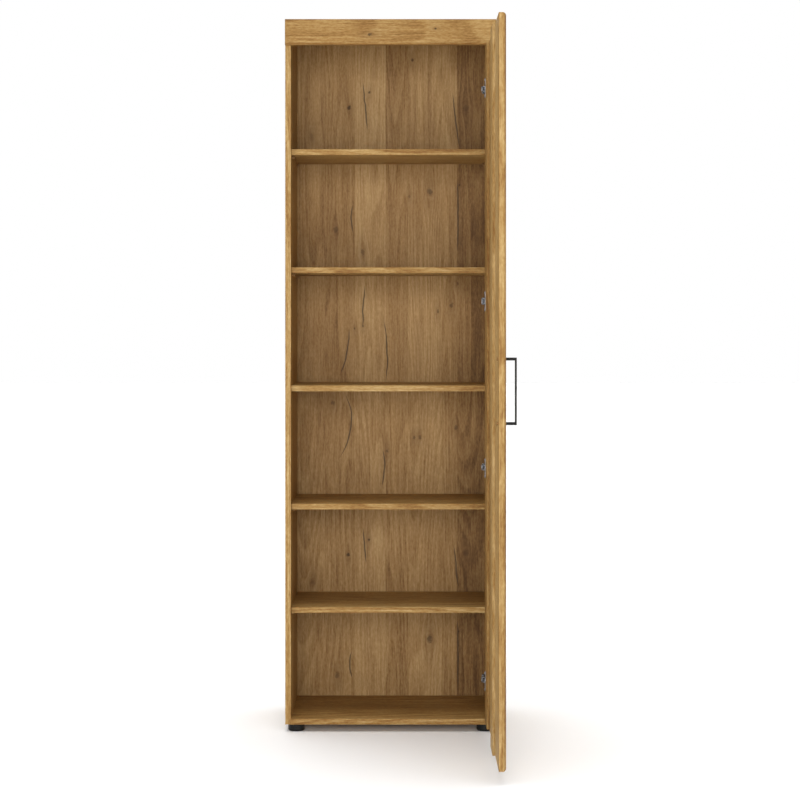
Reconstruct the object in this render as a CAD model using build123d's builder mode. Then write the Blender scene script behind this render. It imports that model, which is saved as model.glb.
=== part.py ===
from build123d import *
import math
import os

# Tall pantry cabinet: one full-height door on four concealed hinges, five shelves, four glides.
# Millimetres. Z is up, X runs from the left side to the right side, Y runs from front to back.
# The origin is on the floor, midway between the sides, in the plane of their front edges.
# The door is modelled standing open at a right angle.

os.makedirs("parts", exist_ok=True)

# ---- carcass ----
board = 16.0
carcass_width = 584.5
carcass_depth = 330.0
overall_height = 1975.0
foot_height = 20.0
edge_round = 0.8
half_width = carcass_width / 2
half_opening = half_width - board
side_height = overall_height - foot_height
top_bottom = overall_height - board

back_thickness = 3.0
back_front = 316.0
back_rear = back_front + back_thickness
back_groove = 6.0
back_end_play = 0.5
back_inset = 3.0
groove_play = 0.2
strip_sheet = 0.9
strip_height = 14.0
strip_core = 1.2
strip_play = 0.1

shelf_tops = (343.0, 631.0, 960.0, 1289.0, 1618.0)
fixed_shelf = 3
shelf_setback = 16.0
shelf_back = back_front - 2.0
shelf_play = 0.25
fixed_shelf_low = shelf_tops[fixed_shelf - 1] - board
loose_shelves = [(number, top) for number, top in enumerate(shelf_tops, 1) if number != fixed_shelf]

# ---- knock-down fittings ----
fixed_middles = (foot_height + board / 2, fixed_shelf_low + board / 2, top_bottom + board / 2)
dowel_places = (115.0, 215.0)
cam_places = (75.0, 255.0)
dowel_radius = 4.0
dowel_in_side = 11.0
dowel_in_panel = 17.0
fit_play = 0.05
end_play = 1.0
cam_reach = 34.0
cam_radius = 7.5
cam_hole_play = 0.1
cam_height = 12.5
cam_slot_width = 8.0
cam_slot_height = 7.0
cam_slot_length = 12.5
cam_slot_offset = 2.25
cam_key_length = 9.0
cam_key_width = 1.6
cam_key_depth = 2.0
cam_bolt_hole = 4.0
cam_thread_radius = 2.5
cam_thread_depth = 11.0
# radius, start and length of each stretch of a cam bolt, measured from the side panel's face
cam_bolt_stretches = ((3.0, 0.0, 25.0), (2.0, 25.0, 7.0), (3.4, 30.0, 3.0))
pin_places = (53.0, 277.0)
pin_radius = 2.5
pin_depth = 9.0
pin_drop = 4.0
pin_reach = 8.0
pin_rest_radius = 5.0
nail_radius = 0.8
nail_length = 15.0
nail_head_radius = 2.2
nail_head_height = 0.7
nail_places = (-220.0, -110.0, 0.0, 110.0, 220.0)

# ---- small screws, shared by the header's angles and the wall brackets ----
small_screw_radius = 1.75
small_screw_length = 12.0
small_screw_head_radius = 3.5
small_screw_head_height = 1.8
small_pilot_radius = 1.8
small_pilot_depth = 11.0
sheet_hole_radius = 2.0

# ---- header rail ----
header_height = 71.0
header_thickness = 18.5
header_round = 5.0
header_dowel_places = (-240.0, -80.0, 80.0, 240.0)
header_dowel_depth = 12.0
angle_places = (-160.0, 160.0)
angle_size = 18.0
angle_sheet = 2.0
angle_screw_offset = 12.0

# ---- wall brackets ----
wall_bracket_places = (("wall_bracket_left", -180.0), ("wall_bracket_right", 180.0))
wall_bracket_width = 20.0
wall_bracket_length = 45.0
wall_bracket_height = 22.0
wall_bracket_sheet = 2.0
wall_bracket_round = 5.0
wall_bracket_screws = (292.0, 306.0)
wall_hole_radius = 3.0
wall_hole_height = 12.0

# ---- feet ----
foot_radius = 22.5
foot_inset_x = 30.0
foot_inset_y = 25.0
foot_collar = 5.0
foot_collar_step = 0.8
foot_round = 3.0
foot_recess_radius = 7.0
foot_recess_depth = 8.0
foot_screw_radius = 2.0
foot_screw_length = 24.0
foot_screw_head_radius = 4.0
foot_screw_head_height = 2.4
foot_pilot_depth = 13.0
foot_x = half_width - foot_inset_x
foot_back_y = carcass_depth - foot_inset_y
foot_places = (
    ("foot_front_left", -foot_x, foot_inset_y),
    ("foot_front_right", foot_x, foot_inset_y),
    ("foot_back_left", -foot_x, foot_back_y),
    ("foot_back_right", foot_x, foot_back_y),
)

# ---- door ----
door_gap = 2.0
door_reveal = 1.75
door_width = carcass_width - 2 * door_reveal
door_bottom = 33.0
door_top = 1896.0
door_height = door_top - door_bottom
door_middle = (door_top + door_bottom) / 2
plank_thickness = 18.5
plank_step = 7.0
plank_round = 8.5
plank_edge_round = 1.0
# distances from the free edge where one plank ends and the next begins
plank_seams = (0.0, 166.0, 270.0, 468.0, door_width)
proud_planks = (1, 3)
handle_plank = 1
hinge_plank = 4
spline_thickness = 4.0
spline_width = 16.0
spline_slot_play = 0.4
spline_inset = 30.0
spline_end_play = 0.5

# ---- handle ----
handle_centres = 160.0
handle_leg = 7.2
handle_bar = 4.4
handle_width = 10.0
handle_reach = 28.4
handle_round = 0.8
handle_from_edge = 45.0
handle_screw_radius = 2.0
handle_hole_play = 0.3
handle_thread_depth = 12.0
handle_screw_head_radius = 4.0
handle_screw_head_height = 2.4

# ---- hinges ----
hinge_heights = tuple(door_middle + offset for offset in (-817.0, -230.0, 230.0, 817.0))
arm_pivot_x = 257.0
arm_pivot_y = 5.0
cup_pin_from_edge = 12.3
cup_pin_depth = 3.3
link_turn = 45.0
hinge_pin_radius = 1.45
hinge_bore_radius = 1.5

cup_from_edge = 22.5
cup_radius = 17.5
cup_depth = 11.5
cup_wall = 2.0
cup_floor = 1.2
cup_flange = 1.0
cup_lip = 1.3
cup_wing_width = 12.0
cup_pocket_play = 0.1
cup_pin_half_length = 12.4
cup_screw_offset = 9.5
cup_screw_spacing = 45.0
cup_screw_radius = 1.75
cup_screw_length = 11.0
cup_screw_head_radius = 3.2
cup_screw_head_height = 1.4

plate_thickness = 2.5
plate_width = 15.0
plate_front_y = 22.0
plate_wing = 12.0
plate_round = 3.0
plate_rail = 6.0
plate_rail_width = 9.0
plate_rail_front_y = 28.0
plate_rail_back_y = 58.0
plate_screw_y = 37.0
plate_screw_spacing = 32.0
plate_screw_radius = 2.5
plate_screw_length = 11.0
plate_screw_head_radius = 4.2
plate_screw_head_height = 1.8

arm_half_width = 9.2
arm_sheet = 1.2
arm_web_x = 264.5
arm_back_y = 60.0
arm_shoulder_y = 34.0
arm_heel_y = 26.0
arm_nose_y = 13.0
arm_nose_radius = 3.0
arm_nose_x = arm_pivot_x - arm_nose_radius
arm_foot_x = half_opening - plate_thickness - 1.0
arm_pin_half_length = 9.5
arm_screw_y = 45.0
arm_screw_radius = 2.0
arm_screw_hole_radius = 2.6
arm_screw_tap_radius = 2.1
arm_screw_tap_depth = 4.5
arm_screw_bite = 4.0
arm_screw_head_radius = 4.0
arm_screw_head_height = 2.0

link_half_width = 7.3
link_sheet = 1.6
link_strip = 3.4
link_end_radius = 2.5
link_bow = 3.0
link_web_length = 8.0
# where the link's centre line bends: in front of the arm's pin, behind the cup's pin, and beside it
link_upper_bend = 7.0
link_lower_bend = 4.8
link_toe = 4.0

# The hinge pin in the cup, with the door shut and with the door open. The link swings clockwise by
# link_turn while the door swings anticlockwise by a right angle.
shut_pin_x = half_width - door_reveal - cup_pin_from_edge
shut_pin_y = -door_gap - cup_pin_depth
link_dx = shut_pin_x - arm_pivot_x
link_dy = shut_pin_y - arm_pivot_y
link_length = math.hypot(link_dx, link_dy)
link_angle = math.degrees(math.atan2(link_dy, link_dx)) - link_turn
open_pin_x = arm_pivot_x + link_length * math.cos(math.radians(link_angle))
open_pin_y = arm_pivot_y + link_length * math.sin(math.radians(link_angle))

# The open door: its hinge edge, the inner faces of the set-back and the proud planks, its free edge.
hinge_edge_y = open_pin_y + cup_pin_from_edge
inner_face_x = open_pin_x - cup_pin_depth
proud_face_x = inner_face_x + plank_step
outer_face_x = proud_face_x + plank_thickness
free_edge_y = hinge_edge_y - door_width
hinge_pocket_y = hinge_edge_y - cup_from_edge
hinge_screw_y = hinge_pocket_y - cup_screw_offset
handle_y = free_edge_y + handle_from_edge
handle_heights = (door_middle - handle_centres / 2, door_middle + handle_centres / 2)
spline_x = (proud_face_x + inner_face_x + plank_thickness) / 2


def facing(x, y, z, normal, across):
    """A plane at a point, facing along normal, with its x axis along across."""
    return Plane(origin=(x, y, z), x_dir=across, z_dir=normal)


def pairs(heights, spacing):
    """Two heights, half the spacing below and above, for each height."""
    return [z + half for z in heights for half in (-spacing / 2, spacing / 2)]


def add_post(plane, radius, amount):
    """Add a round post to the open part, in front of a plane, or behind it if amount is negative."""
    with BuildSketch(plane) as outline:
        Circle(radius)
    extrude(outline.sketch, amount=amount)


def add_screw(seat, radius, length, head_radius, head_height):
    """Add a screw to the open part: its shank behind the seat, its cross-slotted head in front."""
    add_post(seat, radius, -length)
    add_post(seat, head_radius, head_height)
    slot_length = 1.25 * head_radius
    slot_width = 0.27 * head_radius
    with BuildSketch(seat.offset(head_height)) as slot:
        Rectangle(slot_length, slot_width)
        Rectangle(slot_width, slot_length)
    extrude(slot.sketch, amount=-head_height / 2, mode=Mode.SUBTRACT)


def save(piece, name):
    """Label a finished sub-part and write its file."""
    piece.part.label = name
    export_step(piece.part, f"parts/{name}.step")


# ---- sides ----
for side, name in ((-1, "side_left"), (1, "side_right")):
    inner_x = side * half_opening
    inward = (-side, 0, 0)
    with BuildPart() as side_panel:
        with BuildSketch(Plane.XY.offset(foot_height)):
            with Locations((side * (half_opening + board / 2), carcass_depth / 2)):
                Rectangle(board, carcass_depth)
            with Locations((side * (half_opening + back_groove / 2), back_front + back_thickness / 2)):
                Rectangle(back_groove, back_thickness + 2 * groove_play, mode=Mode.SUBTRACT)
        extrude(amount=side_height)
        front_edges = side_panel.edges().filter_by(Axis.Z).group_by(Axis.Y)[0]
        fillet(front_edges, radius=edge_round)
        spots = [(y, z) for z in fixed_middles for y in dowel_places]
        with Locations(*[facing(inner_x, y, z, inward, (0, 1, 0)) for y, z in spots]):
            Hole(dowel_radius, dowel_in_side + end_play)
        spots = [(y, z) for z in fixed_middles for y in cam_places]
        with Locations(*[facing(inner_x, y, z, inward, (0, 1, 0)) for y, z in spots]):
            Hole(cam_thread_radius, cam_thread_depth + end_play)
        spots = [(y, top - board - pin_drop) for number, top in loose_shelves for y in pin_places]
        with Locations(*[facing(inner_x, y, z, inward, (0, 1, 0)) for y, z in spots]):
            Hole(pin_radius + fit_play, pin_depth + end_play)
        if side > 0:
            heights = pairs(hinge_heights, plate_screw_spacing)
            with Locations(*[facing(inner_x, plate_screw_y, z, inward, (0, 1, 0)) for z in heights]):
                Hole(plate_screw_radius, plate_screw_length)
    save(side_panel, name)

# ---- top, bottom and fixed shelf: panels held by dowels and cams ----
# name, underside, front, back, and whether the cams turn in the underside (-1) or the upper side (1)
fixed_panels = (
    ("bottom_panel", foot_height, 0.0, back_front, -1),
    ("shelf_3", fixed_shelf_low, shelf_setback, shelf_back, -1),
    ("top_panel", top_bottom, 0.0, back_front, 1),
)
for name, low, front, back, cam_side in fixed_panels:
    middle = low + board / 2
    cam_face = middle + cam_side * board / 2
    with BuildPart() as panel:
        with BuildSketch(Plane.XY.offset(low)):
            with Locations((0, (front + back) / 2)):
                Rectangle(2 * half_opening, back - front)
        extrude(amount=board)
        for side in (-1, 1):
            end_x = side * half_opening
            outward = (side, 0, 0)
            with Locations(*[facing(end_x, y, middle, outward, (0, 1, 0)) for y in dowel_places]):
                Hole(dowel_radius, dowel_in_panel + end_play)
            with Locations(*[facing(end_x, y, middle, outward, (0, 1, 0)) for y in cam_places]):
                Hole(cam_bolt_hole, cam_reach)
            cam_x = side * (half_opening - cam_reach)
            with Locations(*[facing(cam_x, y, cam_face, (0, 0, cam_side), (1, 0, 0)) for y in cam_places]):
                Hole(cam_radius + cam_hole_play, cam_height + 2 * cam_hole_play)
        if name == "bottom_panel":
            with Locations(*[facing(x, y, low, (0, 0, -1), (1, 0, 0)) for foot_name, x, y in foot_places]):
                Hole(foot_screw_radius + fit_play, foot_pilot_depth)
        if name == "top_panel":
            with Locations(*[facing(x, 0, middle, (0, -1, 0), (1, 0, 0)) for x in header_dowel_places]):
                Hole(dowel_radius, dowel_in_panel + end_play)
            spots = [(x, angle_screw_offset) for x in angle_places]
            with Locations(*[facing(x, y, low, (0, 0, -1), (1, 0, 0)) for x, y in spots]):
                Hole(small_pilot_radius, small_pilot_depth)
            spots = [(x, y) for bracket_name, x in wall_bracket_places for y in wall_bracket_screws]
            with Locations(*[facing(x, y, cam_face, (0, 0, 1), (1, 0, 0)) for x, y in spots]):
                Hole(small_pilot_radius, small_pilot_depth)
        if name != "shelf_3":
            with Locations(*[facing(x, back, middle, (0, 1, 0), (1, 0, 0)) for x in nail_places]):
                Hole(nail_radius + fit_play, nail_length + end_play)
    save(panel, name)

# ---- loose shelves, each resting on four pins ----
for number, top in loose_shelves:
    with BuildPart() as shelf:
        with BuildSketch(Plane.XY.offset(top - board)):
            with Locations((0, (shelf_setback + shelf_back) / 2)):
                Rectangle(2 * (half_opening - shelf_play), shelf_back - shelf_setback)
        extrude(amount=board)
        fillet(shelf.edges().filter_by(Axis.X).group_by(Axis.Y)[0], radius=edge_round)
    save(shelf, f"shelf_{number}")

# ---- back, in two sheets that meet behind the fixed shelf in a joining strip ----
back_width = 2 * (half_opening + back_groove - back_end_play)
back_middle_y = back_front + back_thickness / 2
seam_z = fixed_middles[1]
seam_half_gap = (strip_core + 2 * groove_play) / 2
back_sheets = (
    ("back_lower", foot_height + back_inset, seam_z - seam_half_gap, fixed_middles[0]),
    ("back_upper", seam_z + seam_half_gap, overall_height - back_inset, fixed_middles[2]),
)
for name, low, high, nail_z in back_sheets:
    with BuildPart() as back_sheet:
        with BuildSketch(Plane.XY.offset(low)):
            with Locations((0, back_middle_y)):
                Rectangle(back_width, back_thickness)
        extrude(amount=high - low)
        with Locations(*[facing(x, back_rear, nail_z, (0, 1, 0), (1, 0, 0)) for x in nail_places]):
            Hole(nail_radius + fit_play, back_thickness)
    save(back_sheet, name)

strip_half_length = half_opening - back_end_play
strip_flange_y = (back_thickness + strip_sheet + strip_play) / 2
with BuildPart() as back_strip:
    with BuildSketch(Plane.YZ.offset(-strip_half_length)):
        with Locations((back_middle_y - strip_flange_y, seam_z), (back_middle_y + strip_flange_y, seam_z)):
            Rectangle(strip_sheet, strip_height)
        with Locations((back_middle_y, seam_z)):
            Rectangle(back_thickness + 2 * strip_play, strip_core)
    extrude(amount=2 * strip_half_length)
save(back_strip, "back_strip")

with BuildPart() as back_nails:
    for z in (fixed_middles[0], fixed_middles[2]):
        for x in nail_places:
            rear = facing(x, back_rear, z, (0, 1, 0), (1, 0, 0))
            add_post(rear, nail_radius, -nail_length)
            add_post(rear, nail_head_radius, nail_head_height)
save(back_nails, "back_nails")

# ---- header rail in front of the top panel, with its dowels, angles and screws ----
with BuildPart() as header_rail:
    with BuildSketch(Plane.XY.offset(overall_height - header_height)):
        with Locations((0, -header_thickness / 2)):
            Rectangle(carcass_width, header_thickness)
    extrude(amount=header_height)
    fillet(header_rail.faces().sort_by(Axis.Y)[0].edges(), radius=header_round)
    with Locations(*[facing(x, 0, fixed_middles[2], (0, 1, 0), (1, 0, 0)) for x in header_dowel_places]):
        Hole(dowel_radius, header_dowel_depth + end_play)
    pilot_z = top_bottom - angle_screw_offset
    with Locations(*[facing(x, 0, pilot_z, (0, 1, 0), (1, 0, 0)) for x in angle_places]):
        Hole(small_pilot_radius, small_pilot_depth)
save(header_rail, "header_rail")


def angle_seats(x):
    """The two faces of a header angle that its screws sit on: under the top and behind the header."""
    under_top = facing(x, angle_screw_offset, top_bottom - angle_sheet, (0, 0, -1), (1, 0, 0))
    behind_header = facing(x, angle_sheet, top_bottom - angle_screw_offset, (0, 1, 0), (1, 0, 0))
    return under_top, behind_header


with BuildPart() as header_brackets:
    for x in angle_places:
        with BuildSketch(Plane.YZ.offset(x - angle_size / 2)):
            with Locations((angle_size / 2, top_bottom - angle_sheet / 2)):
                Rectangle(angle_size, angle_sheet)
            with Locations((angle_sheet / 2, top_bottom - angle_size / 2)):
                Rectangle(angle_sheet, angle_size)
        extrude(amount=angle_size)
        with Locations(*angle_seats(x)):
            Hole(sheet_hole_radius, angle_sheet)
save(header_brackets, "header_brackets")

with BuildPart() as header_screws:
    for x in angle_places:
        for seat in angle_seats(x):
            add_screw(seat, small_screw_radius, small_screw_length,
                      small_screw_head_radius, small_screw_head_height)
save(header_screws, "header_screws")

# ---- dowels ----
with BuildPart() as carcass_dowels:
    for side in (-1, 1):
        root_x = side * (half_opening + dowel_in_side)
        for z in fixed_middles:
            for y in dowel_places:
                root = facing(root_x, y, z, (-side, 0, 0), (0, 1, 0))
                add_post(root, dowel_radius - fit_play, dowel_in_side + dowel_in_panel)
    for x in header_dowel_places:
        root = facing(x, -header_dowel_depth, fixed_middles[2], (0, 1, 0), (1, 0, 0))
        add_post(root, dowel_radius - fit_play, header_dowel_depth + dowel_in_panel)
save(carcass_dowels, "carcass_dowels")

# ---- cam bolts, screwed into the sides, and the cams that draw them in ----
with BuildPart() as cam_bolts:
    for side in (-1, 1):
        for z in fixed_middles:
            for y in cam_places:
                wall = facing(side * half_opening, y, z, (-side, 0, 0), (0, 1, 0))
                add_post(wall, cam_thread_radius - fit_play, -cam_thread_depth)
                for radius, start, length in cam_bolt_stretches:
                    add_post(wall.offset(start), radius, length)
save(cam_bolts, "cam_bolts")

with BuildPart() as cam_discs:
    for face_z, outward in ((foot_height, -1), (fixed_shelf_low, -1), (overall_height, 1)):
        for side in (-1, 1):
            for y in cam_places:
                face = facing(side * (half_opening - cam_reach), y, face_z, (0, 0, outward), (1, 0, 0))
                add_post(face, cam_radius, -cam_height)
                with BuildSketch(face.offset(-(board + cam_slot_height) / 2)):
                    with Locations((side * cam_slot_offset, 0)):
                        Rectangle(cam_slot_length, cam_slot_width)
                extrude(amount=cam_slot_height, mode=Mode.SUBTRACT)
                with BuildSketch(face):
                    Rectangle(cam_key_length, cam_key_width)
                    Rectangle(cam_key_width, cam_key_length)
                extrude(amount=-cam_key_depth, mode=Mode.SUBTRACT)
save(cam_discs, "cam_discs")

# ---- shelf pins: a peg in the side and a flat-topped rest under the shelf ----
with BuildPart() as shelf_pins:
    for number, top in loose_shelves:
        for side in (-1, 1):
            for y in pin_places:
                wall = facing(side * half_opening, y, top - board - pin_drop, (-side, 0, 0), (0, 1, 0))
                add_post(wall, pin_radius, -pin_depth)
                with BuildSketch(wall):
                    Circle(pin_rest_radius)
                    Rectangle(2 * pin_rest_radius, 2 * pin_drop, mode=Mode.INTERSECT)
                extrude(amount=pin_reach)
save(shelf_pins, "shelf_pins")

# ---- feet: round glides with a collar, each held by one sunk screw ----
for name, x, y in foot_places:
    with BuildPart() as foot:
        with BuildSketch(Plane.XY):
            with Locations((x, y)):
                Circle(foot_radius)
        extrude(amount=foot_height - foot_collar)
        fillet(foot.edges().sort_by(Axis.Z)[0], radius=foot_round)
        with BuildSketch(Plane.XY.offset(foot_height - foot_collar)):
            with Locations((x, y)):
                Circle(foot_radius - foot_collar_step)
        extrude(amount=foot_collar)
        with Locations(facing(x, y, 0, (0, 0, -1), (1, 0, 0))):
            Hole(foot_recess_radius, foot_recess_depth)
            Hole(foot_screw_radius + fit_play, foot_height)
    save(foot, name)

with BuildPart() as foot_screws:
    for name, x, y in foot_places:
        seat = facing(x, y, foot_recess_depth, (0, 0, -1), (1, 0, 0))
        add_screw(seat, foot_screw_radius, foot_screw_length, foot_screw_head_radius, foot_screw_head_height)
save(foot_screws, "foot_screws")

# ---- wall brackets: steel angles on the top panel, flush with the back edges of the sides ----
bracket_top = overall_height + wall_bracket_sheet
foot_middle = (carcass_depth - wall_bracket_length / 2, overall_height + wall_bracket_sheet / 2)
upright_middle = (carcass_depth - wall_bracket_sheet / 2, overall_height + wall_bracket_height / 2)
for name, x in wall_bracket_places:
    with BuildPart() as wall_bracket:
        with BuildSketch(Plane.YZ.offset(x - wall_bracket_width / 2)):
            with Locations(foot_middle):
                Rectangle(wall_bracket_length, wall_bracket_sheet)
            with Locations(upright_middle):
                Rectangle(wall_bracket_sheet, wall_bracket_height)
        extrude(amount=wall_bracket_width)
        corners = wall_bracket.edges().filter_by(Axis.Y).group_by(Axis.Z)[-1]
        fillet(corners, radius=wall_bracket_round)
        with Locations(facing(x, carcass_depth, overall_height + wall_hole_height, (0, 1, 0), (1, 0, 0))):
            Hole(wall_hole_radius, wall_bracket_sheet)
        with Locations(*[facing(x, y, bracket_top, (0, 0, 1), (1, 0, 0)) for y in wall_bracket_screws]):
            Hole(sheet_hole_radius, wall_bracket_sheet)
    save(wall_bracket, name)

with BuildPart() as bracket_screws:
    for name, x in wall_bracket_places:
        for y in wall_bracket_screws:
            seat = facing(x, y, bracket_top, (0, 0, 1), (1, 0, 0))
            add_screw(seat, small_screw_radius, small_screw_length,
                      small_screw_head_radius, small_screw_head_height)
save(bracket_screws, "bracket_screws")

# ---- door: four vertical planks, the second and fourth set back from the front ----
for number in (1, 2, 3, 4):
    near = free_edge_y + plank_seams[number - 1]
    far = free_edge_y + plank_seams[number]
    inner_seams = [seam for seam in (near, far) if seam not in (free_edge_y, hinge_edge_y)]
    face_x = proud_face_x if number in proud_planks else inner_face_x
    with BuildPart() as plank:
        with BuildSketch(Plane.XY.offset(door_bottom)):
            with Locations((face_x + plank_thickness / 2, (near + far) / 2)):
                Rectangle(plank_thickness, far - near)
        extrude(amount=door_height)
        rounded = plank.faces().sort_by(Axis.X)[-1].edges()
        if number not in proud_planks:
            rounded = rounded.filter_by(Axis.Y)
        fillet(rounded, radius=plank_round)
        if number == handle_plank:
            inner_edges = plank.faces().sort_by(Axis.X)[0].edges()
            fillet(inner_edges.group_by(Axis.Y)[0], radius=plank_edge_round)
        for seam in inner_seams:
            with BuildSketch(Plane.XY.offset(door_bottom + spline_inset)):
                with Locations((spline_x, seam)):
                    Rectangle(spline_thickness + 2 * fit_play, spline_width + spline_slot_play)
            extrude(amount=door_height - 2 * spline_inset, mode=Mode.SUBTRACT)
        if number == handle_plank:
            with Locations(*[facing(face_x, handle_y, z, (-1, 0, 0), (0, 1, 0)) for z in handle_heights]):
                Hole(handle_screw_radius + handle_hole_play, plank_thickness)
        if number == hinge_plank:
            pockets = [facing(face_x, hinge_pocket_y, z, (-1, 0, 0), (0, 1, 0)) for z in hinge_heights]
            with Locations(*pockets):
                Hole(cup_radius + fit_play, cup_depth + cup_pocket_play)
            heights = pairs(hinge_heights, cup_screw_spacing)
            with Locations(*[facing(face_x, hinge_screw_y, z, (-1, 0, 0), (0, 1, 0)) for z in heights]):
                Hole(cup_screw_radius, cup_screw_length)
    save(plank, f"door_plank_{number}")

for number in (1, 2, 3):
    with BuildPart() as spline:
        with BuildSketch(Plane.XY.offset(door_bottom + spline_inset + spline_end_play)):
            with Locations((spline_x, free_edge_y + plank_seams[number])):
                Rectangle(spline_thickness, spline_width)
        extrude(amount=door_height - 2 * (spline_inset + spline_end_play))
    save(spline, f"door_spline_{number}")

# ---- handle: a flat black bow on the free-edge plank, held by two screws from inside ----
handle_height = handle_centres + handle_leg
bar_face = handle_reach - handle_bar
with BuildPart() as handle:
    with BuildSketch(Plane.XZ.offset(-handle_y - handle_width / 2)):
        with Locations((outer_face_x + handle_reach / 2, door_middle)):
            Rectangle(handle_reach, handle_height)
        with Locations((outer_face_x + bar_face / 2, door_middle)):
            Rectangle(bar_face, handle_height - 2 * handle_leg, mode=Mode.SUBTRACT)
    extrude(amount=handle_width)
    fillet(handle.edges().filter_by(Axis.Y), radius=handle_round)
    with Locations(*[facing(outer_face_x, handle_y, z, (-1, 0, 0), (0, 1, 0)) for z in handle_heights]):
        Hole(handle_screw_radius + fit_play, handle_thread_depth + end_play)
save(handle, "handle")

with BuildPart() as handle_screws:
    for z in handle_heights:
        seat = facing(proud_face_x, handle_y, z, (-1, 0, 0), (0, 1, 0))
        add_screw(seat, handle_screw_radius, plank_thickness + handle_thread_depth,
                  handle_screw_head_radius, handle_screw_head_height)
save(handle_screws, "handle_screws")

# ---- hinges: mounting plate and arm on the side, link between, cup in the door ----
for number, z in enumerate(hinge_heights, 1):
    # cross-shaped plate with a raised rail
    base = facing(half_opening, 0, z, (-1, 0, 0), (0, 1, 0))
    with BuildPart() as hinge_plate:
        with BuildSketch(base):
            with Locations((plate_screw_y, 0)):
                RectangleRounded(plate_wing, plate_screw_spacing + plate_wing, plate_round)
            with Locations(((plate_front_y + arm_back_y) / 2, 0)):
                Rectangle(arm_back_y - plate_front_y, plate_width)
        extrude(amount=plate_thickness)
        with BuildSketch(base.offset(plate_thickness)):
            with Locations(((plate_rail_front_y + plate_rail_back_y) / 2, 0)):
                Rectangle(plate_rail_back_y - plate_rail_front_y, plate_rail_width)
        extrude(amount=plate_rail - plate_thickness)
        spots = [(plate_screw_y, height) for height in pairs((0.0,), plate_screw_spacing)]
        with Locations(*[base.offset(plate_thickness) * Location(spot) for spot in spots]):
            Hole(plate_screw_radius + fit_play, plate_thickness)
        with Locations(base.offset(plate_rail) * Location((arm_screw_y, 0))):
            Hole(arm_screw_tap_radius, arm_screw_tap_depth)
    save(hinge_plate, f"hinge_plate_{number}")

    # pressed arm: two cheeks and a web, with the link's pivot at its nose
    with BuildPart() as hinge_arm:
        for cheek in (-arm_half_width, arm_half_width - arm_sheet):
            with BuildSketch(Plane.XY.offset(z + cheek)):
                with BuildLine():
                    Polyline(
                        (arm_foot_x, arm_back_y),
                        (arm_web_x, arm_back_y),
                        (arm_web_x, arm_shoulder_y),
                        (arm_nose_x, arm_nose_y),
                        (arm_nose_x, arm_pivot_y),
                        (arm_pivot_x + arm_nose_radius, arm_pivot_y),
                        (arm_foot_x, arm_heel_y),
                        (arm_foot_x, arm_back_y),
                    )
                make_face()
                with Locations((arm_pivot_x, arm_pivot_y)):
                    Circle(arm_nose_radius)
                    Circle(hinge_bore_radius, mode=Mode.SUBTRACT)
            extrude(amount=arm_sheet)
        with BuildSketch(Plane.XY.offset(z - arm_half_width)):
            with BuildLine():
                Polyline((arm_web_x, arm_back_y), (arm_web_x, arm_shoulder_y), (arm_nose_x, arm_nose_y))
                offset(amount=arm_sheet, side=Side.LEFT)
            make_face()
        extrude(amount=2 * arm_half_width)
        with Locations(facing(arm_web_x, arm_screw_y, z, (-1, 0, 0), (0, 1, 0))):
            Hole(arm_screw_hole_radius, arm_sheet)
    save(hinge_arm, f"hinge_arm_{number}")

    # link: two bowed cheeks on the pins, clear of the door's edge, joined by a web
    bow_x = arm_pivot_x - link_bow
    with BuildPart() as hinge_link:
        for cheek in (-link_half_width, link_half_width - link_sheet):
            with BuildSketch(Plane.XY.offset(z + cheek)):
                with BuildLine():
                    Polyline(
                        (arm_pivot_x, arm_pivot_y),
                        (bow_x, arm_pivot_y - link_upper_bend),
                        (bow_x, open_pin_y + link_lower_bend),
                        (bow_x + link_toe, open_pin_y),
                        (open_pin_x, open_pin_y),
                    )
                trace(line_width=link_strip)
                with Locations((arm_pivot_x, arm_pivot_y), (open_pin_x, open_pin_y)):
                    Circle(link_end_radius)
                    Circle(hinge_bore_radius, mode=Mode.SUBTRACT)
            extrude(amount=link_sheet)
        with BuildSketch(Plane.XY.offset(z - link_half_width)):
            with Locations((bow_x - (link_strip - link_sheet) / 2, (arm_pivot_y + open_pin_y) / 2)):
                Rectangle(link_sheet, link_web_length)
        extrude(amount=2 * link_half_width)
    save(hinge_link, f"hinge_link_{number}")

    # cup: pressed pot with a flange and two wings on the door's inner face
    mouth = facing(inner_face_x, hinge_pocket_y, z, (-1, 0, 0), (0, -1, 0))
    with BuildPart() as hinge_cup:
        with BuildSketch(mouth):
            Circle(cup_radius)
        extrude(amount=-cup_depth)
        with BuildSketch(mouth):
            Circle(cup_radius + cup_lip)
            with Locations((cup_screw_offset, 0)):
                SlotCenterToCenter(cup_screw_spacing, cup_wing_width, rotation=90)
        extrude(amount=cup_flange)
        with BuildSketch(mouth.offset(cup_flange)):
            Circle(cup_radius - cup_wall)
        extrude(amount=-(cup_flange + cup_depth - cup_floor), mode=Mode.SUBTRACT)
        with BuildSketch(mouth):
            with Locations(*[(cup_screw_offset, height) for height in pairs((0.0,), cup_screw_spacing)]):
                Circle(sheet_hole_radius)
        extrude(amount=cup_flange, mode=Mode.SUBTRACT)
        with BuildSketch(Plane.XY.offset(z - cup_pin_half_length - fit_play)):
            with Locations((open_pin_x, open_pin_y)):
                Circle(hinge_bore_radius)
        extrude(amount=2 * (cup_pin_half_length + fit_play), mode=Mode.SUBTRACT)
    save(hinge_cup, f"hinge_cup_{number}")

with BuildPart() as plate_screws:
    for z in pairs(hinge_heights, plate_screw_spacing):
        seat = facing(half_opening - plate_thickness, plate_screw_y, z, (-1, 0, 0), (0, 1, 0))
        add_screw(seat, plate_screw_radius - fit_play, plate_thickness + plate_screw_length - end_play,
                  plate_screw_head_radius, plate_screw_head_height)
save(plate_screws, "plate_screws")

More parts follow.
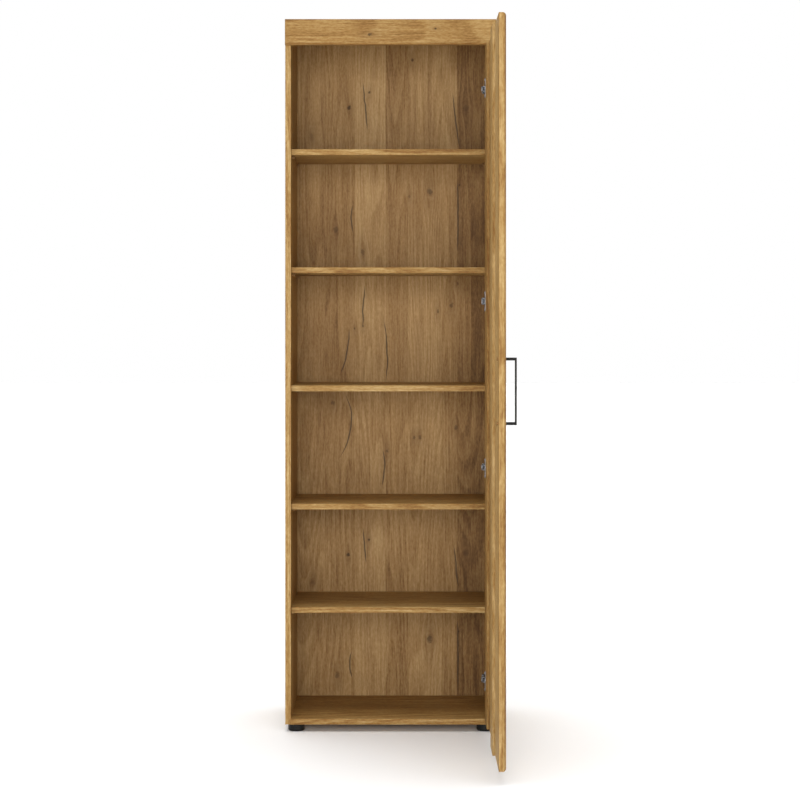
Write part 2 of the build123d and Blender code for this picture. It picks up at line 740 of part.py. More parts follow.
with BuildPart() as arm_screws:
    for z in hinge_heights:
        seat = facing(arm_web_x, arm_screw_y, z, (-1, 0, 0), (0, 1, 0))
        add_screw(seat, arm_screw_radius, half_opening - plate_rail - arm_web_x + arm_screw_bite,
                  arm_screw_head_radius, arm_screw_head_height)
save(arm_screws, "arm_screws")

with BuildPart() as cup_screws:
    for z in pairs(hinge_heights, cup_screw_spacing):
        seat = facing(inner_face_x - cup_flange, hinge_screw_y, z, (-1, 0, 0), (0, 1, 0))
        add_screw(seat, cup_screw_radius - fit_play, cup_flange + cup_screw_length - end_play,
                  cup_screw_head_radius, cup_screw_head_height)
save(cup_screws, "cup_screws")

# ---- hinge pins: upright, through the arms' noses and across the cups ----
pin_sets = (
    ("arm_pins", arm_pivot_x, arm_pivot_y, arm_pin_half_length),
    ("cup_pins", open_pin_x, open_pin_y, cup_pin_half_length),
)
for name, x, y, half_length in pin_sets:
    with BuildPart() as hinge_pins:
        for z in hinge_heights:
            low_end = facing(x, y, z - half_length, (0, 0, 1), (1, 0, 0))
            add_post(low_end, hinge_pin_radius, 2 * half_length)
    save(hinge_pins, name)
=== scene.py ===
# A tall pantry cabinet with its door open: oak-effect boards, a rustic oak-effect back, a black handle,
# black feet and plated hinges. Lengths are metres. X runs from the cabinet's left side to its right, Y
# from its front to its back, and Z up. The script gives the CAD nodes their materials, and adds a floor,
# the light and the camera.
import math

import bpy
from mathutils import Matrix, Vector


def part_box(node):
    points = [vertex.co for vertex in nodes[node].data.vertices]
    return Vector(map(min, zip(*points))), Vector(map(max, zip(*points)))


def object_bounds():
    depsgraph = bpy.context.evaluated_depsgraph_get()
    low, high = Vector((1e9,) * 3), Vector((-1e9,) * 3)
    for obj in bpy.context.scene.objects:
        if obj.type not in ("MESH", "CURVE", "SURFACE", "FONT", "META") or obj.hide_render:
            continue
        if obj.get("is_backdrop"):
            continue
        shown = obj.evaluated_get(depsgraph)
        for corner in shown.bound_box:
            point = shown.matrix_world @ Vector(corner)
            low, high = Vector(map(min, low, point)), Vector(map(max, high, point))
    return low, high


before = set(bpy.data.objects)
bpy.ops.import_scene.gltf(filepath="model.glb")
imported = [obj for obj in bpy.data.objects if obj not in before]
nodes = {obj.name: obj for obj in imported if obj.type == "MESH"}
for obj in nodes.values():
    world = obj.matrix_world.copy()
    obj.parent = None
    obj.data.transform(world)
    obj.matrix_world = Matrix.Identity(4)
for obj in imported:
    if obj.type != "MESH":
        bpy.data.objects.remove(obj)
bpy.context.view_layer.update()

# ---------------------------------------------------------------- places, read from the frame
carcass_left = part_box("side_left")[0].x
carcass_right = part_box("side_right")[1].x
carcass_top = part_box("side_left")[1].z

# ---------------------------------------------------------------- shader helpers
# the sockets of a Mix node that blends colours
MIX_FACTOR, MIX_FIRST, MIX_SECOND = 0, 6, 7
MIX_RESULT = 2


class Graph:
    """A node tree, built from short calls that each return an output socket."""

    def __init__(self, owner):
        """Start on a material's or a world's own tree."""
        owner.use_nodes = True
        self.owner = owner
        self.tree = owner.node_tree
        self.shader = self.tree.nodes.get("Principled BSDF")
        coordinates = self.node("ShaderNodeTexCoord")
        self.place = coordinates.outputs["Object"]
        self.direction = coordinates.outputs["Generated"]

    def node(self, kind, inputs=(), **settings):
        """Add a node, set its properties, and fill its inputs by order with sockets or values."""
        made = self.tree.nodes.new(kind)
        for key, value in settings.items():
            setattr(made, key, value)
        for number, value in enumerate(inputs):
            if value is not None:
                self.fill(made.inputs[number], value)
        return made

    def fill(self, socket, value):
        """Link a socket to an input, or set the input's value."""
        if isinstance(value, bpy.types.NodeSocket):
            self.tree.links.new(value, socket)
        else:
            socket.default_value = value

    def math(self, operation, first, second=None, third=None, clamp=False):
        """A Math node's result."""
        made = self.node("ShaderNodeMath", (first, second, third), operation=operation, use_clamp=clamp)
        return made.outputs[0]

    def add(self, first, second):
        return self.math("ADD", first, second)

    def less(self, first, second):
        return self.math("SUBTRACT", first, second)

    def times(self, first, second):
        return self.math("MULTIPLY", first, second)

    def over(self, first, second):
        return self.math("DIVIDE", first, second)

    def square(self, value):
        return self.math("POWER", value, 2.0)

    def vector(self, operation, first, second):
        """A Vector Math node's result."""
        return self.node("ShaderNodeVectorMath", (first, second), operation=operation).outputs[0]

    def split(self, vector):
        """The three components of a vector or a colour."""
        return self.node("ShaderNodeSeparateXYZ", (vector,)).outputs

    def join(self, x, y, z):
        """A vector from three components."""
        return self.node("ShaderNodeCombineXYZ", (x, y, z)).outputs[0]

    def noise(self, vector, scale, detail=2.0, roughness=0.5):
        """Smooth noise from 0 to 1. The scale is per metre, one number or one for each axis."""
        if not isinstance(scale, (int, float)):
            vector = self.vector("MULTIPLY", vector, scale)
            scale = 1.0
        made = self.node("ShaderNodeTexNoise", (vector,))
        made.inputs["Scale"].default_value = scale
        made.inputs["Detail"].default_value = detail
        made.inputs["Roughness"].default_value = roughness
        return made.outputs["Fac"]

    def ease(self, value, zero_at, one_at):
        """0 at zero_at and beyond it, 1 at one_at and beyond it, and smooth between them."""
        falling = zero_at > one_at
        made = self.node("ShaderNodeMapRange", (value,), interpolation_type="SMOOTHSTEP")
        made.inputs["From Min"].default_value = min(zero_at, one_at)
        made.inputs["From Max"].default_value = max(zero_at, one_at)
        made.inputs["To Min"].default_value = 1.0 if falling else 0.0
        made.inputs["To Max"].default_value = 0.0 if falling else 1.0
        return made.outputs["Result"]

    def centred(self, value, amount):
        """A 0 to 1 value turned into an offset of that amount to either side of zero."""
        return self.math("MULTIPLY_ADD", value, 2 * amount, -amount)

    def total(self, values):
        """The sum of several sockets or numbers."""
        result = values[0]
        for value in values[1:]:
            result = self.add(result, value)
        return result

    def largest(self, values):
        """The largest of several sockets."""
        result = values[0]
        for value in values[1:]:
            result = self.math("MAXIMUM", result, value)
        return result

    def mix(self, factor, first, second):
        """A colour between two others."""
        made = self.node("ShaderNodeMix", data_type="RGBA")
        self.fill(made.inputs[MIX_FACTOR], factor)
        self.fill(made.inputs[MIX_FIRST], first)
        self.fill(made.inputs[MIX_SECOND], second)
        return made.outputs[MIX_RESULT]

    def ramp(self, value, stops, interpolation="LINEAR"):
        """A colour ramp: stops are (position, colour) pairs."""
        made = self.node("ShaderNodeValToRGB", (value,))
        ramp = made.color_ramp
        ramp.interpolation = interpolation
        while len(ramp.elements) < len(stops):
            ramp.elements.new(0.5)
        for element, (position, colour) in zip(ramp.elements, stops):
            element.position = position
            element.color = colour
        return made.outputs["Color"]

    def bump(self, height, distance, strength=1.0):
        """Raise the surface by a 0 to 1 height times a distance in metres."""
        made = self.node("ShaderNodeBump")
        made.inputs["Strength"].default_value = strength
        made.inputs["Distance"].default_value = distance
        self.fill(made.inputs["Height"], height)
        self.fill(self.shader.inputs["Normal"], made.outputs[0])

    def surface(self, **values):
        """Set or link the shader's inputs by name, with _ for a space, and return the material."""
        for key, value in values.items():
            self.fill(self.shader.inputs[key.replace("_", " ")], value)
        return self.owner


def material_graph(name):
    return Graph(bpy.data.materials.new(name))


def grey(level):
    return (level, level, level, 1.0)


# ---------------------------------------------------------------- oak
# tone ramps, from the darkest grain at 0 to the lightest at 1, and the tone that a board starts from
OAK_TONES = (
    (0.00, (0.160, 0.068, 0.016, 1)),
    (0.28, (0.245, 0.122, 0.032, 1)),
    (0.50, (0.350, 0.199, 0.062, 1)),
    (0.74, (0.456, 0.296, 0.114, 1)),
    (1.00, (0.590, 0.418, 0.198, 1)),
)
BACK_TONES = (
    (0.00, (0.130, 0.064, 0.022, 1)),
    (0.28, (0.240, 0.130, 0.046, 1)),
    (0.50, (0.340, 0.196, 0.075, 1)),
    (0.74, (0.435, 0.270, 0.112, 1)),
    (1.00, (0.540, 0.358, 0.164, 1)),
)
MIDDLE_TONE = 0.56

# the noises of the print: how fine each is across, through and along the grain per metre, its detail
# and its roughness
BEND = ((4.0, 4.0, 1.6), 2.0, 0.5)
RINGS = ((7.0, 7.0, 0.55), 1.0, 0.5)
STREAKS = ((48.0, 48.0, 1.3), 3.0, 0.55)
PATCHES = ((6.0, 6.0, 1.7), 2.0, 0.5)
FIBRES = ((300.0, 300.0, 7.0), 3.0, 0.6)
FLECKS = ((250.0, 250.0, 20.0), 2.0, 0.6)
TICKS = ((270.0, 270.0, 85.0), 2.0, 0.6)
PORES = ((950.0, 950.0, 26.0), 1.0, 0.5)

# how far each moves the tone to either side, and how much darker a pore is
RING_TONE = 0.120
STREAK_TONE = 0.27
FIBRE_TONE = 0.34
FLECK_TONE = 0.40
TICK_TONE = 0.42
PORE_TONE = -0.10

BEND_REACH = 0.02                       # how far the grain bends to either side
RING_COUNT = 26.0                       # growth rings from the noise's lowest value to its highest
RING_LIGHTEST = (0.80, 0.86)            # where in a ring its lightest part begins and ends
PORE_EDGE = (0.60, 0.72)                # the noise's values from a pore's outline to its middle
SEED_STEP = (0.731, 1.373, 2.917)       # how far a seed of 1 moves the print

# the surface over the print: fibres stand up, and pores go down
FIBRE_HEIGHT = 0.5
PORE_HEIGHT = -0.5
GRAIN_DEPTH = 0.00025
GRAIN_STRENGTH = 0.6
OAK_ROUGHNESS = 0.54
OAK_ROUGHNESS_VARIES = 0.10
OAK_SPECULAR = 0.14

# knots: lengths are in knot sizes
KNOT_DARK = (0.045, 0.026, 0.014, 1)
HALO_BROWN = (0.150, 0.074, 0.026, 1)
HALO_STRENGTH = 0.34
KNOT_FLOW_LENGTH = 2.8                  # the grain parts over a longer way along than across
KNOT_FLOW_FADE = 0.45
KNOT_PUSH = 0.85
KNOT_LENGTH = 1.35                      # the knot itself, along the grain
KNOT_EDGE = (0.78, 0.30)                # from the knot's outline in to its full darkness
KNOT_OUTLINE = (150.0, 3.0, 0.65)       # the noise that makes the outline uneven
KNOT_UNEVEN = 0.70

CRACK_DARK = (0.048, 0.038, 0.028, 1)
CRACK_STRENGTH = 0.80
CRACK_HALF_WIDTH = 0.0030
CRACK_SOFTNESS = 0.0020
CRACK_WANDER = ((9.0, 9.0, 16.0), 2.0, 0.5)
CRACK_WANDER_REACH = 0.005

# the back's print is made of staves, each from another stretch of grain
STAVE_CONTRAST = 0.30
STAVE_STEP_ACROSS = 3.7
STAVE_STEP_ALONG = 9.3

# the edge band on a board's front, and the joint line behind it
BAND_THICKNESS = 0.0009
BAND_EDGE = (1.1 * BAND_THICKNESS, 0.9 * BAND_THICKNESS)
JOINT_DARK = (0.060, 0.030, 0.012, 1)
JOINT_STRENGTH = 0.6
JOINT_EDGE = (0.00016, 0.00006)
ZONE_FADE = 0.0006

# the unprinted rear of the back
HARDBOARD = ((0.230, 0.135, 0.066, 1), (0.310, 0.195, 0.102, 1))
HARDBOARD_MOTTLE = (70.0, 4.0, 0.65)
PLAIN_FADE = 0.0002


def knot(g, across, along, uneven, centre, size, darkness):
    """One knot: how strongly the grain parts round it, how far that pushes it, and the dark core."""
    dx = g.over(g.less(across, centre[0]), size)
    dz = g.over(g.less(along, centre[1]), size)
    near = g.square(dx)
    flow = g.add(near, g.square(g.over(dz, KNOT_FLOW_LENGTH)))
    swell = g.math("EXPONENT", g.times(flow, -KNOT_FLOW_FADE))
    push = g.times(g.times(dx, swell), -KNOT_PUSH * size)
    ring = g.math("SQRT", g.add(near, g.square(g.over(dz, KNOT_LENGTH))))
    core = g.times(g.ease(g.add(ring, uneven), *KNOT_EDGE), darkness)
    return swell, push, core


def crack(g, across, along, wander, centre, length, lean, curve):
    """A dark check in the grain, thin at both ends. lean moves its top, and curve both of its ends."""
    dz = g.over(g.less(along, centre[1]), length / 2)
    square = g.square(dz)
    line = g.add(g.math("MULTIPLY_ADD", dz, lean, centre[0]), g.times(square, curve))
    off = g.math("ABSOLUTE", g.less(g.add(across, wander), line))
    width = g.times(g.less(1.0, g.times(square, square)), CRACK_HALF_WIDTH)
    return g.math("DIVIDE", g.less(width, off), CRACK_SOFTNESS, clamp=True)


def stave_values(g, across, staves):
    """The value from 0 to 1 of the stave at each place. staves are (start across, value) pairs."""
    start = staves[0][0]
    span = staves[-1][0] - start
    share = g.over(g.less(across, start), span)
    stops = [((x - start) / span, grey(value)) for x, value in staves[:-1]]
    return g.split(g.ramp(share, stops, "CONSTANT"))[0]


def grain(g, base, lively, cloud):
    """The print's tone about its middle, then the streaks, fibres and pores that the surface follows."""
    bend = g.noise(base, *BEND)
    warped = g.vector("ADD", base, g.join(g.centred(bend, BEND_REACH), 0.0, 0.0))
    phase = g.math("FRACT", g.times(g.noise(warped, *RINGS), RING_COUNT))
    rise, fall = RING_LIGHTEST
    ring = g.times(g.ease(phase, 0.0, rise), g.ease(phase, 1.0, fall))
    streak = g.noise(warped, *STREAKS)
    patch = g.noise(base, *PATCHES)
    fibre = g.noise(base, *FIBRES)
    fleck = g.noise(base, *FLECKS)
    tick = g.noise(base, *TICKS)
    pore = g.ease(g.noise(base, *PORES), *PORE_EDGE)
    tone = g.total([
        g.centred(ring, RING_TONE * lively),
        g.centred(streak, STREAK_TONE * lively),
        g.centred(patch, cloud),
        g.centred(fibre, FIBRE_TONE * lively),
        g.centred(fleck, FLECK_TONE * lively),
        g.centred(tick, TICK_TONE * lively),
        g.times(pore, PORE_TONE),
    ])
    return tone, streak, fibre, pore


def zone(g, parts, limits):
    """1 within the limits, 0 outside. limits give an axis its lowest and highest place, or None."""
    amount = 1.0
    for axis, (low, high) in limits.items():
        if low is not None:
            amount = g.times(g.ease(parts[axis], low, low + ZONE_FADE), amount)
        if high is not None:
            amount = g.times(g.ease(parts[axis], high, high - ZONE_FADE), amount)
    return amount


def oak(name, axes, seed, tones=OAK_TONES, lift=0.0, lively=0.86, cloud=0.24, band_front=None,
        band_lift=0.0, zones=(), plain_from=None, knots=(), cracks=(), staves=()):
    """Oak-effect board. axes says which of X, Y, Z run across, through and along the grain.

    lift raises the whole tone, lively scales the grain's contrast, and cloud is how far the tone drifts
    over the board. A board with an edge band names the place of its front face along Y, and the band's
    own change of tone. zones are changes of tone within limits. plain_from is the place along Y where
    the print ends and the plain rear face begins.
    """
    g = material_graph(name)
    parts = dict(zip("XYZ", g.split(g.place)))
    across, depth, along = (parts[axis] for axis in axes)

    swells, pushes, cores = [], [0.0], []
    if knots:
        uneven = g.centred(g.noise(g.place, *KNOT_OUTLINE), KNOT_UNEVEN)
        for one in knots:
            swell, push, core = knot(g, across, along, uneven, *one)
            swells.append(swell)
            pushes.append(push)
            cores.append(core)
    base = g.join(g.add(across, g.total(pushes)), depth, along)
    if staves:
        stave = stave_values(g, across, staves)
        step = g.join(g.times(stave, STAVE_STEP_ACROSS), depth, g.times(stave, STAVE_STEP_ALONG))
        base = g.vector("ADD", base, step)
    base = g.vector("ADD", base, tuple(seed * step for step in SEED_STEP))

    tone, streak, fibre, pore = grain(g, base, lively, cloud)
    tone = g.add(tone, MIDDLE_TONE + lift)
    if staves:
        tone = g.add(tone, g.centred(stave, STAVE_CONTRAST))
    if band_front is not None:
        behind = g.less(parts["Y"], band_front)
        tone = g.add(tone, g.times(g.ease(behind, *BAND_EDGE), band_lift))
    for change, limits in zones:
        tone = g.add(tone, g.times(zone(g, parts, limits), change))

    colour = g.ramp(tone, tones)
    if band_front is not None:
        joint = g.ease(g.math("ABSOLUTE", g.less(behind, BAND_THICKNESS)), *JOINT_EDGE)
        colour = g.mix(g.times(joint, JOINT_STRENGTH), colour, JOINT_DARK)
    if knots:
        colour = g.mix(g.times(g.largest(swells), HALO_STRENGTH), colour, HALO_BROWN)
        colour = g.mix(g.largest(cores), colour, KNOT_DARK)
    if cracks:
        wander = g.centred(g.noise(base, *CRACK_WANDER), CRACK_WANDER_REACH)
        mark = g.largest([crack(g, across, along, wander, *one) for one in cracks])
        colour = g.mix(g.times(mark, CRACK_STRENGTH), colour, CRACK_DARK)
    if plain_from is not None:
        mottle = g.noise(g.place, *HARDBOARD_MOTTLE)
        rear = g.ease(parts["Y"], plain_from - PLAIN_FADE, plain_from)
        colour = g.mix(rear, colour, g.mix(mottle, *HARDBOARD))

    height = g.add(g.times(fibre, FIBRE_HEIGHT), g.times(pore, PORE_HEIGHT))
    g.bump(height, GRAIN_DEPTH, GRAIN_STRENGTH)
    roughness = g.add(g.centred(streak, OAK_ROUGHNESS_VARIES), OAK_ROUGHNESS)
    return g.surface(Base_Color=colour, Roughness=roughness, Specular_IOR_Level=OAK_SPECULAR)


# ---------------------------------------------------------------- metals, plastics and solid wood
# noises: how fine per metre, and detail. VARIES is how far a pattern moves the roughness.
METAL_CLOUD = (60.0, 3.0)
METAL_CLOUD_HEIGHT = 0.4
METAL_CLOUD_VARIES = 0.10
DRAW_MARKS = ((1800.0, 1800.0, 90.0), 2.0)
DRAW_MARK_HEIGHT = 0.6
DRAW_MARK_VARIES = 0.05
METAL_DEPTH = 0.00006
WEAR = (240.0, 3.0)
WEAR_EDGE = (0.62, 0.80)
WEAR_STRENGTH = 0.35
WEAR_VARIES = 0.18
WORN_METAL = (0.36, 0.34, 0.31, 1)

COAT_DARK = (0.004, 0.0036, 0.0032, 1)
COAT_LIGHT = (0.009, 0.008, 0.007, 1)
COAT_CLOUD = (35.0, 3.0)
COAT_CLOUD_VARIES = 0.10
COAT_PEEL = (900.0, 2.0)
COAT_PEEL_DEPTH = 0.00012
COAT_PEEL_STRENGTH = 0.7
COAT_ROUGHNESS = 0.48
COAT_SPECULAR = 0.16

MOULD_GRAIN = (1400.0, 2.0)
MOULD_GRAIN_DEPTH = 0.0001
MOULD_GRAIN_STRENGTH = 0.8
MOULD_SPECULAR = 0.22
DUST = (90.0, 4.0)
DUST_EDGE = (0.35, 0.75)
DUST_VARIES = 0.12

BEECH_DARK = (0.56, 0.38, 0.22, 1)
BEECH_LIGHT = (0.70, 0.52, 0.33, 1)
BEECH_STREAKS = ((140.0, 140.0, 60.0), 3.0)
BEECH_STREAK_VARIES = 0.1
BEECH_FLECKS = ((900.0, 900.0, 300.0), 1.0)
BEECH_FLECK_BROWN = (0.36, 0.20, 0.10, 1)
BEECH_FLECK_EDGE = (0.62, 0.72)
BEECH_FLECK_STRENGTH = 0.5
BEECH_DEPTH = 0.0001
BEECH_ROUGHNESS = 0.6


def plated(name, colour, roughness):
    """Plate on pressed steel: fine draw marks, cloudy gloss and a little wear."""
    g = material_graph(name)
    cloud = g.noise(g.place, *METAL_CLOUD)
    marks = g.noise(g.place, *DRAW_MARKS)
    wear = g.ease(g.noise(g.place, *WEAR), *WEAR_EDGE)
    tinted = g.mix(g.times(wear, WEAR_STRENGTH), (*colour, 1), WORN_METAL)
    g.bump(g.add(g.times(marks, DRAW_MARK_HEIGHT), g.times(cloud, METAL_CLOUD_HEIGHT)), METAL_DEPTH)
    varies = g.total([
        g.centred(cloud, METAL_CLOUD_VARIES),
        g.times(wear, WEAR_VARIES),
        g.centred(marks, DRAW_MARK_VARIES),
    ])
    return g.surface(Base_Color=tinted, Roughness=g.add(varies, roughness), Metallic=1.0)


def powder_coat(name):
    """Satin black powder coat with an orange-peel surface and a cloudy tone."""
    g = material_graph(name)
    cloud = g.noise(g.place, *COAT_CLOUD)
    g.bump(g.noise(g.place, *COAT_PEEL), COAT_PEEL_DEPTH, COAT_PEEL_STRENGTH)
    return g.surface(Base_Color=g.mix(cloud, COAT_DARK, COAT_LIGHT), Specular_IOR_Level=COAT_SPECULAR,
                     Roughness=g.add(g.centred(cloud, COAT_CLOUD_VARIES), COAT_ROUGHNESS))


def moulded(name, dark, light, roughness):
    """Moulded plastic with a spark-eroded texture and dust towards the light tone."""
    g = material_graph(name)
    dust = g.noise(g.place, *DUST)
    colour = g.mix(g.ease(dust, *DUST_EDGE), (*dark, 1), (*light, 1))
    g.bump(g.noise(g.place, *MOULD_GRAIN), MOULD_GRAIN_DEPTH, MOULD_GRAIN_STRENGTH)
    return g.surface(Base_Color=colour, Specular_IOR_Level=MOULD_SPECULAR,
                     Roughness=g.add(g.centred(dust, DUST_VARIES), roughness))


def beech(name):
    """Plain beech with short ray flecks."""
    g = material_graph(name)
    streak = g.noise(g.place, *BEECH_STREAKS)
    fleck = g.ease(g.noise(g.place, *BEECH_FLECKS), *BEECH_FLECK_EDGE)
    colour = g.mix(streak, BEECH_DARK, BEECH_LIGHT)
    colour = g.mix(g.times(fleck, BEECH_FLECK_STRENGTH), colour, BEECH_FLECK_BROWN)
    g.bump(streak, BEECH_DEPTH)
    return g.surface(Base_Color=colour,
                     Roughness=g.add(g.centred(streak, BEECH_STREAK_VARIES), BEECH_ROUGHNESS))


# ---------------------------------------------------------------- finishes on the nodes
def dress(material, *names):
    """Give CAD nodes a material as their only one."""
    for name in names:
        mesh = nodes[name].data
        mesh.materials.clear()
        mesh.materials.append(material)


def board_front(name):
    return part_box(name)[0].y


# the carcass: the header rail has painted shade along its lower and its upper edge, where its rounded
# edges turn away from the light
SIDE_BAND_LIFT = 0.05
HEADER_LOW_RIM = 0.006
HEADER_LOW_PAINTED_SHADE = -0.14
HEADER_TOP_RIM = 0.003
HEADER_TOP_PAINTED_SHADE = -0.16
HEADER_LIFT = -0.07
HEADER_LIVELY = 0.72
HEADER_CLOUD = 0.08
HEADER_KNOTS = (((1.932, -0.058), 0.007, 0.7), ((1.948, 0.125), 0.004, 0.8))
BOTTOM_LIFT = -0.11
FIRST_SHELF_SEED = 6.0
for side, seed in (("left", 1.0), ("right", 2.0)):
    board = f"side_{side}"
    dress(oak(f"oak side {side}", "YXZ", seed, band_front=board_front(board), band_lift=SIDE_BAND_LIFT),
          board)
low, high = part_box("header_rail")
# painted shade along the lower and the upper edge of the header rail
header_painted_shade = (
    (HEADER_LOW_PAINTED_SHADE, {"Z": (None, low.z + HEADER_LOW_RIM)}),
    (HEADER_TOP_PAINTED_SHADE, {"Z": (high.z - HEADER_TOP_RIM, None)}),
)
dress(oak("oak header", "ZYX", 3.0, lift=HEADER_LIFT, lively=HEADER_LIVELY, cloud=HEADER_CLOUD,
          zones=header_painted_shade, knots=HEADER_KNOTS), "header_rail")
dress(oak("oak top", "YZX", 4.0), "top_panel")
dress(oak("oak bottom", "YZX", 5.0, lift=BOTTOM_LIFT, band_front=board_front("bottom_panel")),
      "bottom_panel")
for number in range(1, 6):
    shelf = f"shelf_{number}"
    seed = FIRST_SHELF_SEED + number - 1
    dress(oak(f"oak shelf {number}", "YZX", seed, band_front=board_front(shelf)), shelf)

# the free-edge plank: a painted highlight that lightens the inner face, painted shade on it just behind
# the edge, and a line of painted shade round the outer edge, where the rounding turns from the light
INNER_REACH = 0.004
INNER_PAINTED_LIGHT = 0.12
EDGE_SHADE = 0.035
EDGE_PAINTED_SHADE_TONE = -0.30
RIM_ACROSS = 0.0040
RIM_BACK = 0.008
RIM_PAINTED_SHADE = -0.22
DOOR_CLOUD = 0.14
FIRST_PLANK_SEED = 21.0
low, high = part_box("door_plank_1")
inner_face = (None, low.x + INNER_REACH)
band_rear = low.y + BAND_THICKNESS
plank_painted_light_and_shade = (
    (INNER_PAINTED_LIGHT, {"X": inner_face, "Y": (band_rear, None)}),
    (EDGE_PAINTED_SHADE_TONE, {"X": inner_face, "Y": (band_rear, low.y + EDGE_SHADE)}),
    (RIM_PAINTED_SHADE, {"X": (high.x - RIM_ACROSS, None), "Y": (None, low.y + RIM_BACK)}),
)
dress(oak("oak door plank 1", "YXZ", FIRST_PLANK_SEED, cloud=DOOR_CLOUD, band_front=low.y,
          zones=plank_painted_light_and_shade), "door_plank_1")

# the other planks: painted light on the second and painted shade on the third and fourth, darker towards
# the hinges where the planks in front shade them
for number, lift in ((2, 0.08), (3, -0.08), (4, -0.15)):
    plank = f"door_plank_{number}"
    seed = FIRST_PLANK_SEED + number - 1
    dress(oak(f"oak {plank}", "YXZ", seed, lift=lift, cloud=DOOR_CLOUD), plank)

# the back's print: staves (where each starts across the back, and its place in the tone range), knots
# (centre, size and darkness) and cracks (centre, length, lean and curve)
STAVES_WITH_PAINTED_SHADE = (
    (-0.290, 0.50), (-0.197, 0.42), (-0.108, 0.78), (-0.063, 0.76), (-0.016, 0.42),
    # the two staves at the far right are darker: painted shade from the door and the right side
    (0.048, 0.64), (0.149, 0.46), (0.193, 0.12), (0.234, 0.0), (0.290, 0.0),
)
UPPER_KNOTS = (
    ((-0.124, 1.769), 0.008, 0.8), ((-0.065, 1.814), 0.006, 0.7), ((0.063, 1.911), 0.007, 0.7),
    ((0.221, 1.769), 0.013, 0.3), ((-0.235, 1.685), 0.010, 0.2), ((0.114, 1.521), 0.014, 0.6),
    ((0.054, 1.507), 0.006, 0.3), ((-0.163, 1.410), 0.011, 0.4), ((0.202, 1.542), 0.004, 0.6),
    ((-0.084, 1.344), 0.010, 0.4), ((0.196, 1.250), 0.006, 0.5), ((0.138, 1.169), 0.006, 0.5),
    ((0.178, 1.188), 0.009, 0.5), ((-0.108, 1.118), 0.004, 0.6), ((-0.083, 1.126), 0.005, 0.6),
)
UPPER_CRACKS = (
    ((-0.075, 1.773), 0.154, -0.007, -0.002), ((0.191, 1.732), 0.170, -0.010, 0.001),
    ((-0.118, 1.441), 0.090, -0.001, 0.007), ((0.197, 1.450), 0.230, 0.0, -0.001),
    ((-0.130, 1.050), 0.150, 0.015, -0.008), ((-0.081, 1.184), 0.130, 0.003, 0.001),
    ((-0.012, 1.052), 0.200, -0.003, -0.007),
)
LOWER_KNOTS = (
    ((-0.172, 0.899), 0.010, 0.5), ((-0.012, 0.758), 0.007, 0.5), ((0.085, 0.798), 0.008, 0.5),
    ((0.068, 0.797), 0.006, 0.5), ((0.191, 0.826), 0.009, 0.5), ((-0.065, 0.495), 0.006, 0.7),
    ((-0.126, 0.450), 0.008, 0.8), ((0.221, 0.456), 0.012, 0.3), ((-0.230, 0.369), 0.010, 0.2),
    ((0.113, 0.202), 0.014, 0.6), ((-0.158, 0.096), 0.011, 0.4), ((0.199, 0.225), 0.004, 0.6),
)
LOWER_CRACKS = (
    ((-0.118, 0.830), 0.200, 0.010, -0.029), ((-0.020, 0.706), 0.115, 0.001, -0.006),
    ((-0.077, 0.477), 0.110, -0.005, -0.002), ((0.191, 0.416), 0.135, -0.008, 0.0),
    ((-0.120, 0.126), 0.085, -0.001, 0.007), ((0.197, 0.158), 0.230, 0.0, -0.001),
)
BACK_LIVELY = 0.78
BACK_CLOUD = 0.26
back_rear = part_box("back_upper")[1].y
for half, seed, lift, knots, cracks in (("upper", 40.0, 0.025, UPPER_KNOTS, UPPER_CRACKS),
                                        ("lower", 41.0, 0.030, LOWER_KNOTS, LOWER_CRACKS)):
    dress(oak(f"oak back {half}", "XYZ", seed, BACK_TONES, lift, BACK_LIVELY, BACK_CLOUD,
              plain_from=back_rear, knots=knots, cracks=cracks, staves=STAVES_WITH_PAINTED_SHADE), f"back_{half}")

# the fittings: plastics are a dark and a light tone and a roughness, plates a colour and a roughness
BLACK_PLASTIC = ((0.004, 0.004, 0.004), (0.014, 0.014, 0.012), 0.42)
BROWN_PLASTIC = ((0.220, 0.120, 0.042), (0.290, 0.165, 0.062), 0.55)
NICKEL = ((0.30, 0.31, 0.33), 0.42)
ZINC = ((0.62, 0.64, 0.66), 0.36)
BRONZE = ((0.30, 0.17, 0.07), 0.50)
dress(powder_coat("black powder coat"), "handle")
dress(moulded("black moulded plastic", *BLACK_PLASTIC),
      "foot_front_left", "foot_front_right", "foot_back_left", "foot_back_right")
dress(moulded("brown extruded plastic", *BROWN_PLASTIC), "back_strip", "shelf_pins")
dress(beech("beech"), "carcass_dowels", "door_spline_1", "door_spline_2", "door_spline_3")
hinge_parts = [f"hinge_{part}_{number}"
               for part in ("plate", "arm", "link", "cup") for number in range(1, 5)]
dress(plated("nickel plate", *NICKEL), *hinge_parts,
      "arm_pins", "cup_pins", "plate_screws", "arm_screws", "cup_screws")
dress(plated("bright zinc plate", *ZINC),
      "back_nails", "header_brackets", "header_screws", "cam_bolts", "cam_discs", "foot_screws",
      "wall_bracket_left", "wall_bracket_right", "bracket_screws")
dress(plated("bronze plate", *BRONZE), "handle_screws")

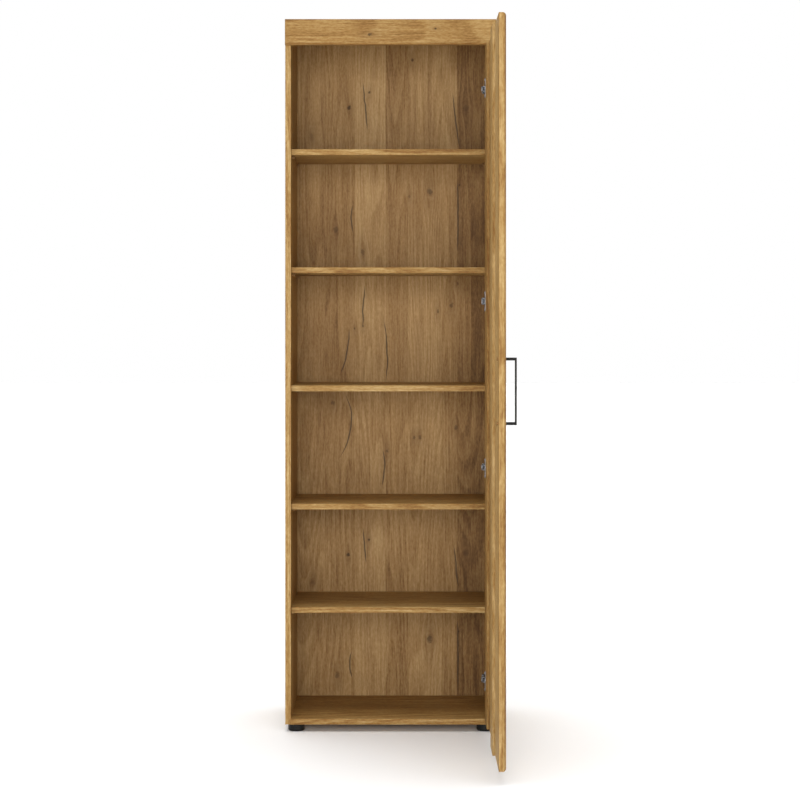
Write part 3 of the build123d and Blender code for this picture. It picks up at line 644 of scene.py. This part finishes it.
# ---------------------------------------------------------------- floor
FLOOR_HALF = 30.0
FLOOR_DROP = 0.0004
FLOOR_MOTTLE = (3.0, 3.0)
FLOOR_DARK = 0.970
FLOOR_LIGHT = 0.985
FLOOR_ROUGHNESS = 0.7
corners = [(x * FLOOR_HALF, y * FLOOR_HALF, -FLOOR_DROP)
           for x, y in ((-1, -1), (1, -1), (1, 1), (-1, 1))]
floor_mesh = bpy.data.meshes.new("floor")
floor_mesh.from_pydata(corners, [], [(0, 1, 2, 3)])
floor = bpy.data.objects.new("floor", floor_mesh)
bpy.context.scene.collection.objects.link(floor)
g = material_graph("pale floor")
floor_colour = g.mix(g.noise(g.place, *FLOOR_MOTTLE), grey(FLOOR_DARK), grey(FLOOR_LIGHT))
floor_mesh.materials.append(g.surface(Base_Color=floor_colour, Roughness=FLOOR_ROUGHNESS))
floor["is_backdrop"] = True

# ---------------------------------------------------------------- light
# a white studio: a bright band round the horizon, less bright at the far left and right, a strong soft
# ceiling, and dimmer walls between them
SIDES_EDGE = (0.55, 0.90)
SIDES_DIMMED = 0.45
BAND_HEIGHT = (0.40, 0.19)
WALL_LIGHT = 0.14
CEILING_LIGHT = 5.1
CEILING_FOCUS = 8.0
world = bpy.data.worlds.new("studio")
bpy.context.scene.world = world
sky = Graph(world)
sideways, _, up = sky.split(sky.direction)
flank = sky.ease(sky.math("ABSOLUTE", sideways), *SIDES_EDGE)
horizon = sky.times(sky.ease(up, *BAND_HEIGHT), 1.0 - WALL_LIGHT)
horizon = sky.times(horizon, sky.math("MULTIPLY_ADD", flank, -SIDES_DIMMED, 1.0))
overhead = sky.math("POWER", sky.math("MAXIMUM", up, 0.0), CEILING_FOCUS)
ceiling = sky.times(overhead, CEILING_LIGHT)
background = sky.tree.nodes["Background"]
background.inputs["Color"].default_value = grey(1.0)
sky.fill(background.inputs["Strength"], sky.total([horizon, ceiling, WALL_LIGHT]))

# one large soft lamp in front of the cabinet, facing its middle
KEY_PLACE = Vector((-0.2, -5.4, 1.75))
KEY_SIZE = 2.4
KEY_POWER = 112.0
middle = Vector(((carcass_left + carcass_right) / 2, 0.0, carcass_top / 2))
key_data = bpy.data.lights.new("key", "AREA")
key_data.shape = "SQUARE"
key_data.size = KEY_SIZE
key_data.energy = KEY_POWER
key = bpy.data.objects.new("key", key_data)
key.location = KEY_PLACE
key.rotation_euler = (middle - KEY_PLACE).to_track_quat("-Z", "Y").to_euler()
key.visible_camera = False
bpy.context.scene.collection.objects.link(key)

# ---------------------------------------------------------------- camera
CAMERA_RIGHT = 0.0263
CAMERA_AWAY = 5.033
CAMERA_HEIGHT = 1.130
SENSOR_MM = 36.0
LENS_MM = 81.63
HORIZON_RAISED = 0.0944
FAR_CLIP = 200.0
camera_data = bpy.data.cameras.new("camera")
camera_data.sensor_width = SENSOR_MM
camera_data.lens = LENS_MM
camera_data.shift_y = -HORIZON_RAISED
camera_data.clip_end = FAR_CLIP
camera = bpy.data.objects.new("camera", camera_data)
camera.location = (CAMERA_RIGHT, -CAMERA_AWAY, CAMERA_HEIGHT)
camera.rotation_euler = (math.radians(90), 0, 0)
bpy.context.scene.collection.objects.link(camera)
bpy.context.scene.camera = camera
bpy.context.scene.view_settings.view_transform = "Standard"

# ---------------------------------------------------------------- size of the visual model
low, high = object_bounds()
